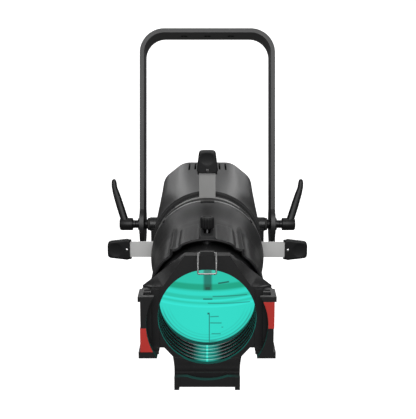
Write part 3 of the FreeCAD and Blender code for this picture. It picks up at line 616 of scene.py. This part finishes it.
barrel_coat = coat("barrel_powder_coat", (0.0125, 0.0125, 0.013), 0.42, 0.0010, bump=0.16, specular=0.17)
for node, centre in (("barrel_upper", 0.0), ("barrel_lower", math.pi)):
    half = bmesh.new()
    across, along = 180, 112
    seam_gap = 0.00015
    grid = []
    for i in range(across + 1):
        angle = centre - math.pi / 2 + math.pi * i / across
        row = []
        for j in range(along + 1):
            a = BARREL_A0 + (BARREL_A1 - BARREL_A0) * j / along
            r = barrel_radius(angle, a)
            x, h = r * math.sin(angle), r * math.cos(angle)
            if node == "barrel_upper" and abs(x) < PAD_HALF + 0.002 and h > 0:
                on_pad = (1 - ramp(abs(x), PAD_HALF - 0.0006, PAD_HALF + 0.0014))
                on_pad *= ramp(a, PAD_A0 - 0.002, PAD_A0 + 0.001)
                on_pad *= 1 - ramp(a, PAD_A1 - 0.001, PAD_A1 + 0.002)
                h += (PAD_TOP - h) * on_pad
            if i in (0, across):
                h += seam_gap if node == "barrel_upper" else -seam_gap
            row.append(half.verts.new((x, -a, h)))
        grid.append(row)
    for i in range(across):
        for j in range(along):
            a = BARREL_A0 + (BARREL_A1 - BARREL_A0) * (j + 0.5) / along
            x = (grid[i][j].co.x + grid[i + 1][j].co.x) / 2
            in_slot = node == "barrel_upper" and abs(x) < SLOT_HALF and SLOT_A0 < a < SLOT_A1
            under_cover = node == "barrel_upper" and abs(x) < 0.0108 and a < 0.2325
            if in_slot or under_cover:
                continue
            half.faces.new((grid[i][j], grid[i + 1][j], grid[i + 1][j + 1], grid[i][j + 1]))
    bmesh.ops.delete(half, geom=[v for v in half.verts if not v.link_faces], context="VERTS")
    bmesh.ops.recalc_face_normals(half, faces=half.faces)
    if sum(face.normal.dot(Vector((face.calc_center_median().x, 0, face.calc_center_median().z)))
           for face in half.faces) < 0:
        bmesh.ops.reverse_faces(half, faces=half.faces)
    casting = finished(half, node + "_casting", barrel_coat, "barrel", [node], corner=40)
    wall = casting.modifiers.new("wall", "SOLIDIFY")
    wall.thickness = 0.0032
    wall.offset = -1
    wall.use_even_offset = True
    wall.use_rim = True

    if node == "barrel_lower":
        # two pairs of short slots in each side
        cutter_shape = bmesh.new()
        for side in (-1, 1):
            for a, h in ((0.372, -0.004), (0.372, -0.030), (0.408, -0.004), (0.408, -0.030)):
                bmesh.ops.create_cube(cutter_shape, size=1.0, matrix=Matrix.Translation((side * 0.078, -a, h))
                                      @ Matrix.Diagonal((0.040, 0.014, 0.004, 1)))
        cutter_mesh = bpy.data.meshes.new("slot_cutter")
        cutter_shape.to_mesh(cutter_mesh)
        cutter_shape.free()
        cutter_mesh.transform(AIM)
        cutter = put_in_scene("slot_cutter", cutter_mesh)
        slots = casting.modifiers.new("side_slots", "BOOLEAN")
        slots.object = cutter
        slots.solver = "EXACT"
        cut = bpy.data.meshes.new_from_object(casting.evaluated_get(bpy.context.evaluated_depsgraph_get()))
        casting.modifiers.clear()
        casting.data = cut
        bpy.data.objects.remove(cutter)

eased("slot_cover", "barrel", gate_black, 0.0004)


# ---- Lens tube: cast in a left and a right half that meet on the centre line.  The round tube flares to an
# eight-sided face with two side channels and a bottom holder, whose slots take the accessory frames.
tube_coat = coat("tube_powder_coat", (0.0095, 0.0095, 0.010), 0.40, 0.0010, bump=0.16)
for node in ("lens_tube_left", "lens_tube_right"):
    eased(node, "lens_tube", tube_coat, 0.0006)


# ---- Lenses: two ground glass lenses face each other in the tube. The front one is lit from behind, so
# it shows the beam's colour.  Painted into that glow, as painted shade and highlight, are the bands of the rear
# lens, the tube's seam as a dark line low down with short ribs across it, and the foot of the focus stud at the
# top.
def calc(tree, operation, *terms):
    node = tree.nodes.new("ShaderNodeMath")
    node.operation = operation
    for socket, term in zip(node.inputs, terms):
        if isinstance(term, (int, float)):
            socket.default_value = term
        else:
            tree.links.new(term, socket)
    return node.outputs["Value"]


def on_axis(tree):
    # Object coordinates seen along the optical axis: x across and h above it, in millimetres
    where = tree.nodes.new("ShaderNodeTexCoord")
    level = tree.nodes.new("ShaderNodeMapping")
    level.vector_type = "TEXTURE"
    level.inputs["Location"].default_value = PIVOT
    level.inputs["Rotation"].default_value = (TILT, 0, 0)
    tree.links.new(where.outputs["Object"], level.inputs["Vector"])
    apart = tree.nodes.new("ShaderNodeSeparateXYZ")
    tree.links.new(level.outputs["Vector"], apart.inputs["Vector"])
    return [calc(tree, "MULTIPLY", apart.outputs[axis], 1000.0) for axis in ("X", "Z")]


def fade(tree, value, full, none, strength=1.0):
    # strength where the value is below full, nothing above none
    node = tree.nodes.new("ShaderNodeMapRange")
    node.interpolation_type = "SMOOTHSTEP"
    node.inputs["From Min"].default_value = full
    node.inputs["From Max"].default_value = none
    node.inputs["To Min"].default_value = strength
    node.inputs["To Max"].default_value = 0.0
    tree.links.new(value, node.inputs["Value"])
    return node.outputs["Result"]


def stroke(tree, x, h, start, end, half, soft, strength):
    # a soft-edged line between two points of the lens, (x, h) each
    run, rise = end[0] - start[0], end[1] - start[1]
    length = math.hypot(run, rise)
    c, s = run / length, rise / length
    middle = ((start[0] + end[0]) / 2, (start[1] + end[1]) / 2)
    dx, dh = calc(tree, "SUBTRACT", x, middle[0]), calc(tree, "SUBTRACT", h, middle[1])
    along = calc(tree, "ABSOLUTE", calc(tree, "MULTIPLY_ADD", dx, c, calc(tree, "MULTIPLY", dh, s)))
    across = calc(tree, "ABSOLUTE", calc(tree, "MULTIPLY_ADD", dx, -s, calc(tree, "MULTIPLY", dh, c)))
    beyond = calc(tree, "MAXIMUM", calc(tree, "SUBTRACT", along, length / 2),
                  calc(tree, "SUBTRACT", across, half))
    return fade(tree, beyond, 0.0, soft, strength)


lit = coat("lit_lens", (0.004, 0.030, 0.026), 0.08, 0.02, bump=0.0, drift=0.05, specular=0.10)
tree = lit.node_tree
shader = tree.nodes["Principled BSDF"]
shader.inputs["Emission Strength"].default_value = 1.0
x, h = on_axis(tree)
bowed = calc(tree, "SUBTRACT", h, calc(tree, "MULTIPLY", calc(tree, "MULTIPLY", x, x), 0.0008))
LOWEST, HIGHEST = -70.0, 40.0
height = tree.nodes.new("ShaderNodeMapRange")
height.inputs["From Min"].default_value = LOWEST
height.inputs["From Max"].default_value = HIGHEST
tree.links.new(bowed, height.inputs["Value"])
painted_bands = tree.nodes.new("ShaderNodeValToRGB")
stops = painted_bands.color_ramp.elements
even, dim = (0.036, 0.70, 0.57, 1), (0.030, 0.56, 0.42, 1)
dark, bright = (0.018, 0.38, 0.24, 1), (0.044, 0.80, 0.68, 1)
stops[0].position, stops[0].color = 0.0, even
stops[1].position, stops[1].color = 1.0, dim
# painted bands: the glow turns lighter and darker at these heights, standing for the rear lens seen through the
# front one
for at_h, colour in ((-30.0, even), (-12.5, even), (-10.5, bright), (-7.5, even), (-5.0, dim), (-3.2, even),
                     (-1.5, bright), (0.8, dim), (4.0, dim), (6.5, even), (10.0, even), (12.5, dim),
                     (14.5, dark), (20.5, dark), (23.0, dim)):
    stop = stops.new((at_h - LOWEST) / (HIGHEST - LOWEST))
    stop.color = colour
tree.links.new(height.outputs["Result"], painted_bands.inputs["Fac"])
# painted shade: soft dark strokes in the glow, each (start, end, half width, softness, strength) in
# millimetres, stand for the stud's foot and its shadow, the seam and its ribs, and the rear lens's edges
painted_strokes = [
    ((0.7, 15.6), (0.7, 40.0), 3.6, 4.0, 0.68),       # the focus stud's foot and its shadow
    ((-1.8, 16.0), (3.2, 16.0), 1.4, 2.5, 0.88),
    ((-5.0, 0.8), (6.5, 0.8), 0.4, 1.1, 0.75),
    ((1.8, -19.8), (1.8, -21.4), 0.9, 1.1, 0.85),
    ((2.9, -21.0), (2.9, -72.0), 0.25, 0.7, 0.80),     # the seam, then its ribs
    ((4.6, -25.4), (15.5, -25.2), 0.4, 0.9, 0.55),
    ((4.6, -35.2), (19.5, -35.8), 0.4, 0.9, 0.60),
    ((20.4, -42.7), (21.8, -42.7), 0.5, 0.9, 0.45),
    ((6.5, -53.2), (18.5, -53.8), 0.4, 0.9, 0.60),
    ((4.6, -66.4), (18.5, -66.5), 0.4, 0.9, 0.60),
    ((8.0, 4.6), (55.0, 4.2), 0.3, 1.0, 0.55),         # edges of the rear lens
    ((1.5, -5.2), (59.0, -6.9), 0.3, 1.0, 0.50),
    ((15.5, 22.7), (29.5, 24.3), 0.5, 1.0, 0.80),
]
painted_darkening = None
for start, end, half, soft, strength in painted_strokes:
    mark = stroke(tree, x, h, start, end, half, soft, strength)
    painted_darkening = mark if painted_darkening is None else calc(tree, "MAXIMUM", painted_darkening, mark)
# painted shade: dark arcs round the axis on the lower part of the lens
reach = calc(tree, "SQRT", calc(tree, "ADD", calc(tree, "MULTIPLY", x, x), calc(tree, "MULTIPLY", h, h)))
below = fade(tree, h, -30.0, -10.0)
for radius, strength in ((64.8, 0.40), (59.5, 0.14), (55.0, 0.10), (68.5, 0.55)):
    arc = fade(tree, calc(tree, "ABSOLUTE", calc(tree, "SUBTRACT", reach, radius)), 0.5, 1.7, strength)
    painted_darkening = calc(tree, "MAXIMUM", painted_darkening, calc(tree, "MULTIPLY", arc, below))
glow = tree.nodes.new("ShaderNodeMix")
glow.data_type = "RGBA"
glow.inputs[7].default_value = (0.022, 0.040, 0.034, 1)
tree.links.new(painted_darkening, glow.inputs["Factor"])
tree.links.new(painted_bands.outputs["Color"], glow.inputs[6])
tree.links.new(glow.outputs[2], shader.inputs["Emission Color"])
LENS_R, LENS_A = 0.0687, 0.431
outline = [(0.0001, LENS_A), (LENS_R - 0.0004, LENS_A), (LENS_R, LENS_A + 0.0004), (LENS_R, LENS_A + 0.0030)]
DOME = 0.150
for step in range(25):
    radius = (LENS_R - 0.0012) * (1 - step / 24) + 0.0001
    outline.append((radius, 0.300 + math.sqrt(DOME ** 2 - radius ** 2)))
finished(lathe(outline, 128), "front_lens_ground", lit, "lens_tube", ["front_lens"])


# ---- Baffles: thin black rings stand inside the mouth of the tube and catch stray light.  They share one
# shape, so a small tree sets out the rings, each a little tighter than the one behind it.
def new_tree(name, *sizes):
    tree = bpy.data.node_groups.new(name, "GeometryNodeTree")
    tree.interface.new_socket("Geometry", in_out="INPUT", socket_type="NodeSocketGeometry")
    for label, kind, value in sizes:
        tree.interface.new_socket(label, in_out="INPUT", socket_type=kind).default_value = value
    tree.interface.new_socket("Material", in_out="INPUT", socket_type="NodeSocketMaterial")
    tree.interface.new_socket("Geometry", in_out="OUTPUT", socket_type="NodeSocketGeometry")
    return tree, tree.nodes.new("NodeGroupInput"), tree.nodes.new("NodeGroupOutput")


def closing(tree, source, group_in, group_out):
    # every tree ends the same way: real geometry, then its material
    real = tree.nodes.new("GeometryNodeRealizeInstances")
    dressed = tree.nodes.new("GeometryNodeSetMaterial")
    tree.links.new(source, real.inputs["Geometry"])
    tree.links.new(real.outputs["Geometry"], dressed.inputs["Geometry"])
    tree.links.new(group_in.outputs["Material"], dressed.inputs["Material"])
    tree.links.new(dressed.outputs["Geometry"], group_out.inputs[0])


def grown(name, tree, material, body, slot, seed_points=((0, 0, 0),), replaced=(), place=AIM, **sizes):
    # runs the tree once on the given points, keeps the plain mesh, and hands it to its body
    seeds = bpy.data.meshes.new(name + "_points")
    seeds.from_pydata([tuple(point) for point in seed_points], [], [])
    grower = bpy.data.objects.new(name + "_grower", seeds)
    scene.collection.objects.link(grower)
    work = grower.modifiers.new("grow", "NODES")
    work.node_group = tree
    for item in tree.interface.items_tree:
        if item.item_type == "SOCKET" and item.in_out == "INPUT" and item.name != "Geometry":
            if item.name == "Material":
                work[item.identifier] = material
            elif item.name.replace(" ", "_").lower() in sizes:
                work[item.identifier] = sizes[item.name.replace(" ", "_").lower()]
    seen = grower.evaluated_get(bpy.context.evaluated_depsgraph_get())
    mesh = bpy.data.meshes.new_from_object(seen)
    mesh.name = name
    bpy.data.objects.remove(grower)
    mesh.transform(place)
    piece = put_in_scene(name, mesh)
    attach(piece, body)
    if replaced:
        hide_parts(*replaced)
    return piece


ring_tree, ring_in, ring_out = new_tree(
    "baffle_ring_row", ("Rings", "NodeSocketInt", 5), ("Spacing", "NodeSocketFloat", 0.013),
    ("Ring Radius", "NodeSocketFloat", 0.0675), ("Tighter", "NodeSocketFloat", 0.0045),
    ("Lip", "NodeSocketFloat", 0.0022), ("Thickness", "NodeSocketFloat", 0.0016))
add, link = ring_tree.nodes.new, ring_tree.links.new
row = add("GeometryNodeMeshLine")
row.mode = "OFFSET"
step_back = add("ShaderNodeCombineXYZ")
link(calc(ring_tree, "MULTIPLY", ring_in.outputs["Spacing"], -1.0), step_back.inputs["Y"])
link(ring_in.outputs["Rings"], row.inputs["Count"])
link(step_back.outputs["Vector"], row.inputs["Offset"])
circle = add("GeometryNodeCurvePrimitiveCircle")
circle.inputs["Resolution"].default_value = 128
link(ring_in.outputs["Ring Radius"], circle.inputs["Radius"])
section = add("GeometryNodeCurvePrimitiveQuadrilateral")
link(ring_in.outputs["Lip"], section.inputs["Width"])
link(ring_in.outputs["Thickness"], section.inputs["Height"])
swept = add("GeometryNodeCurveToMesh")
link(circle.outputs["Curve"], swept.inputs["Curve"])
link(section.outputs["Curve"], swept.inputs["Profile Curve"])
stand = add("GeometryNodeTransform")
stand.inputs["Rotation"].default_value = (math.radians(90), 0, 0)
link(swept.outputs["Mesh"], stand.inputs["Geometry"])
place_rings = add("GeometryNodeInstanceOnPoints")
link(row.outputs["Mesh"], place_rings.inputs["Points"])
link(stand.outputs["Geometry"], place_rings.inputs["Instance"])
shrink = calc(ring_tree, "MULTIPLY", add("GeometryNodeInputIndex").outputs["Index"], ring_in.outputs["Tighter"])
link(calc(ring_tree, "SUBTRACT", 1.0, shrink), place_rings.inputs["Scale"])
closing(ring_tree, place_rings.outputs["Instances"], ring_in, ring_out)
baffle_black = coat("baffle_black", (0.008, 0.009, 0.009), 0.22, 0.0010, bump=0.05)
tree = baffle_black.node_tree
shader = tree.nodes["Principled BSDF"]
# painted glint: turquoise emission on the rings, strongest at the bottom centre, stands for the lens's glow
# caught on their edges
shader.inputs["Emission Color"].default_value = (0.030, 0.62, 0.50, 1)
x, h = on_axis(tree)
aside = calc(tree, "ABSOLUTE", x)
painted_glint = calc(tree, "ADD", fade(tree, aside, 3.0, 22.0, 0.55), fade(tree, aside, 0.8, 1.8, 0.6))
tree.links.new(calc(tree, "MULTIPLY", painted_glint, fade(tree, h, -60.0, -50.0)), shader.inputs["Emission Strength"])
BAFFLE_A = 0.4530
grown("baffle_rings_set", ring_tree, baffle_black, "lens_tube", "cast_black", replaced=["baffle_rings"],
      place=AIM @ Matrix.Translation((0, -BAFFLE_A, 0)), rings=5, spacing=0.013, ring_radius=0.0672,
      tighter=0.0045, lip=0.0034, thickness=0.0016)


# ---- Front panels: plain red plastic plates on the lips of the side channels, low on one and high on the
# other, each with an edge that turns over the outer corner.
red = coat("red_panel", (0.46, 0.030, 0.024), 0.42, 0.0012)
eased("lip_panels", "lens_tube", red, 0.00015)


# ---- Retaining clip: spring wire bent to a U, hinged in a small block on the top of the face.  It drops
# in front of the slots so that an accessory frame can't climb out.
eased("clip_hinge", "lens_tube", tube_coat, 0.0005)
bright_wire = coat("spring_wire", (0.30, 0.30, 0.30), 0.40, 0.0008, metal=1.0)
WIRE_R, LEG_X, HINGE_A, HINGE_H = 0.00112, 0.0114, 0.518, 0.0852
route = [(-0.008, HINGE_A, HINGE_H), (-LEG_X, HINGE_A, HINGE_H), (-LEG_X, 0.5545, 0.083),
         (-LEG_X, 0.5575, 0.069), (LEG_X, 0.5575, 0.069), (LEG_X, 0.5545, 0.083),
         (LEG_X, HINGE_A, HINGE_H), (0.008, HINGE_A, HINGE_H)]
path = []
BEND_R, BEND_STEPS = 0.0016, 8
corners = [Vector((x, -a, h)) for x, a, h in route]
path.append(corners[0])
for before, corner, after in zip(corners, corners[1:], corners[2:]):
    back, on = (before - corner).normalized(), (after - corner).normalized()
    half_angle = back.angle(on) / 2
    first = corner + back * (BEND_R / math.tan(half_angle))
    middle = corner + (back + on).normalized() * (BEND_R / math.sin(half_angle))
    spoke = first - middle
    sweep_axis = back.cross(on).normalized()
    total = math.pi - 2 * half_angle
    for step in range(BEND_STEPS + 1):
        path.append(middle + Matrix.Rotation(-total * step / BEND_STEPS, 3, sweep_axis) @ spoke)
path.append(corners[-1])
line = bpy.data.curves.new("retaining_clip_line", "CURVE")
line.dimensions = "3D"
spline = line.splines.new("POLY")
spline.points.add(len(path) - 1)
for point, spot in zip(spline.points, path):
    point.co = (*spot, 1)
line.bevel_depth = WIRE_R
line.bevel_resolution = 5
line.use_fill_caps = True
drawn = bpy.data.objects.new("retaining_clip_line", line)
scene.collection.objects.link(drawn)
wire_mesh = bpy.data.meshes.new_from_object(drawn.evaluated_get(bpy.context.evaluated_depsgraph_get()))
bpy.data.objects.remove(drawn)
wire_shape = bmesh.new()
wire_shape.from_mesh(wire_mesh)
finished(wire_shape, "retaining_clip_wire", bright_wire, "clip", ["retaining_clip"], corner=60)


# ---- Focus lock knob: a moulded knob with twelve finger flutes and a capped top, on a threaded stud that
# passes through the focus slot into the lens tube.
KNOB_A, KNOB_R, KNOB_LOW, KNOB_TOP, FLUTES = 0.397, 0.0100, 0.0878, 0.1050, 12
knob = bmesh.new()
levels = [(KNOB_LOW, 0.80, 0.3), (KNOB_LOW + 0.0008, 0.86, 0.3), (KNOB_LOW + 0.0014, 0.97, 1),
          (0.0925, 1.0, 1), (0.0970, 1.0, 1), (0.1010, 1.0, 1), (0.1030, 0.985, 0.9), (0.1042, 0.94, 0.6),
          (0.1049, 0.86, 0.2), (KNOB_TOP, 0.76, 0),
          (KNOB_TOP, 0.60, 0), (KNOB_TOP - 0.0006, 0.57, 0), (KNOB_TOP - 0.0006, 0.02, 0)]
rings = []
for h, share, fluted in levels:
    ring = []
    for step in range(144):
        turn = 2 * math.pi * step / 144
        groove = 0.085 * fluted * max(0.0, math.cos(FLUTES * turn)) ** 1.5
        r = KNOB_R * (share - groove)
        ring.append(knob.verts.new((r * math.sin(turn), r * math.cos(turn) - KNOB_A, h)))
    rings.append(ring)
for one, two in zip(rings, rings[1:]):
    band_between(knob, one, two)
knob.faces.new(rings[0])
knob.faces.new(rings[-1])
bmesh.ops.recalc_face_normals(knob, faces=knob.faces)
finished(knob, "focus_knob_fluted", moulded_black, "knob", ["focus_knob"], corner=50)
stud = lathe([(0.0001, 0), (0.0023, 0), (0.0029, 0.0006), (0.0029, 0.0180), (0.0001, 0.0180)], 24)
finished(stud, "focus_knob_stud", zinc, "knob", (),
         AIM @ Matrix.Translation((0, -KNOB_A, 0.0705)) @ Matrix.Rotation(math.radians(-90), 4, "X"))


# ---- Safety eye: a ring of round steel on a foot under the rear of the housing, zinc plated.  The hook of
# the safety cable passes through it.
eased("safety_eye", "lamp", zinc, 0.0003)


# ---- Screws: steel button heads with a hexagon socket hold the rear cover, the sockets and the barrel.
# One tree makes a head and sets one on every point.
screw_tree, screw_in, screw_out = new_tree(
    "button_head_screws", ("Head Radius", "NodeSocketFloat", 0.0035),
    ("Head Height", "NodeSocketFloat", 0.002), ("Socket Radius", "NodeSocketFloat", 0.0016))
add, link = screw_tree.nodes.new, screw_tree.links.new
CROWN_SHARE = 0.72
dome = add("GeometryNodeMeshCone")
dome.inputs["Vertices"].default_value = 28
dome.inputs["Side Segments"].default_value = 1
link(screw_in.outputs["Head Radius"], dome.inputs["Radius Bottom"])
link(calc(screw_tree, "MULTIPLY", screw_in.outputs["Head Radius"], CROWN_SHARE), dome.inputs["Radius Top"])
link(screw_in.outputs["Head Height"], dome.inputs["Depth"])
key_hole = add("GeometryNodeMeshCylinder")
key_hole.inputs["Vertices"].default_value = 6
link(screw_in.outputs["Socket Radius"], key_hole.inputs["Radius"])
link(screw_in.outputs["Head Height"], key_hole.inputs["Depth"])
lift = add("ShaderNodeCombineXYZ")
link(screw_in.outputs["Head Height"], lift.inputs["Z"])
raised = add("GeometryNodeTransform")
link(key_hole.outputs["Mesh"], raised.inputs["Geometry"])
link(lift.outputs["Vector"], raised.inputs["Translation"])
drilled = add("GeometryNodeMeshBoolean")
drilled.operation = "DIFFERENCE"
link(dome.outputs["Mesh"], drilled.inputs["Mesh 1"])
link(raised.outputs["Geometry"], drilled.inputs["Mesh 2"])
set_screws = add("GeometryNodeInstanceOnPoints")
link(screw_in.outputs["Geometry"], set_screws.inputs["Points"])
link(drilled.outputs["Mesh"], set_screws.inputs["Instance"])
closing(screw_tree, set_screws.outputs["Instances"], screw_in, screw_out)

facing_back = Matrix.Translation((0, -COVER_A, 0)) @ Matrix.Rotation(math.radians(-90), 4, "X")
rear_points = [(x, -h, 0) for x in (-0.062, 0.062) for h in (0.066, -0.066)] + [(-0.080, 0, 0), (0.080, 0, 0)]
grown("rear_screw_heads", screw_tree, blackened, "lamp", "zinc_steel", rear_points, ["rear_screws"],
      AIM @ facing_back, head_radius=0.0035, head_height=0.002, socket_radius=0.0016)
flange_points = [(x + dx, -(SOCKET_H + dh), 0.0019) for x in (*POWER_X, *DATA_X)
                 for dx, dh in ((-0.0112, 0.0133), (0.0112, -0.0133))]
grown("socket_screw_heads", screw_tree, zinc, "lamp", "zinc_steel", flange_points, (), AIM @ facing_back,
      head_radius=0.0015, head_height=0.0010, socket_radius=0.0007)
for order, angle in enumerate((50, 130, 230, 310)):
    outwards = Matrix.Rotation(math.radians(angle), 4, "Y") @ Matrix.Translation((0, -0.230, 0.0910))
    grown("barrel_screw_head_%d" % (order + 1), screw_tree, blackened, "barrel", "zinc_steel", ((0, 0, 0),),
          ["barrel_screws"] if order == 0 else (), AIM @ outwards, head_radius=0.0032, head_height=0.0018,
          socket_radius=0.0015)
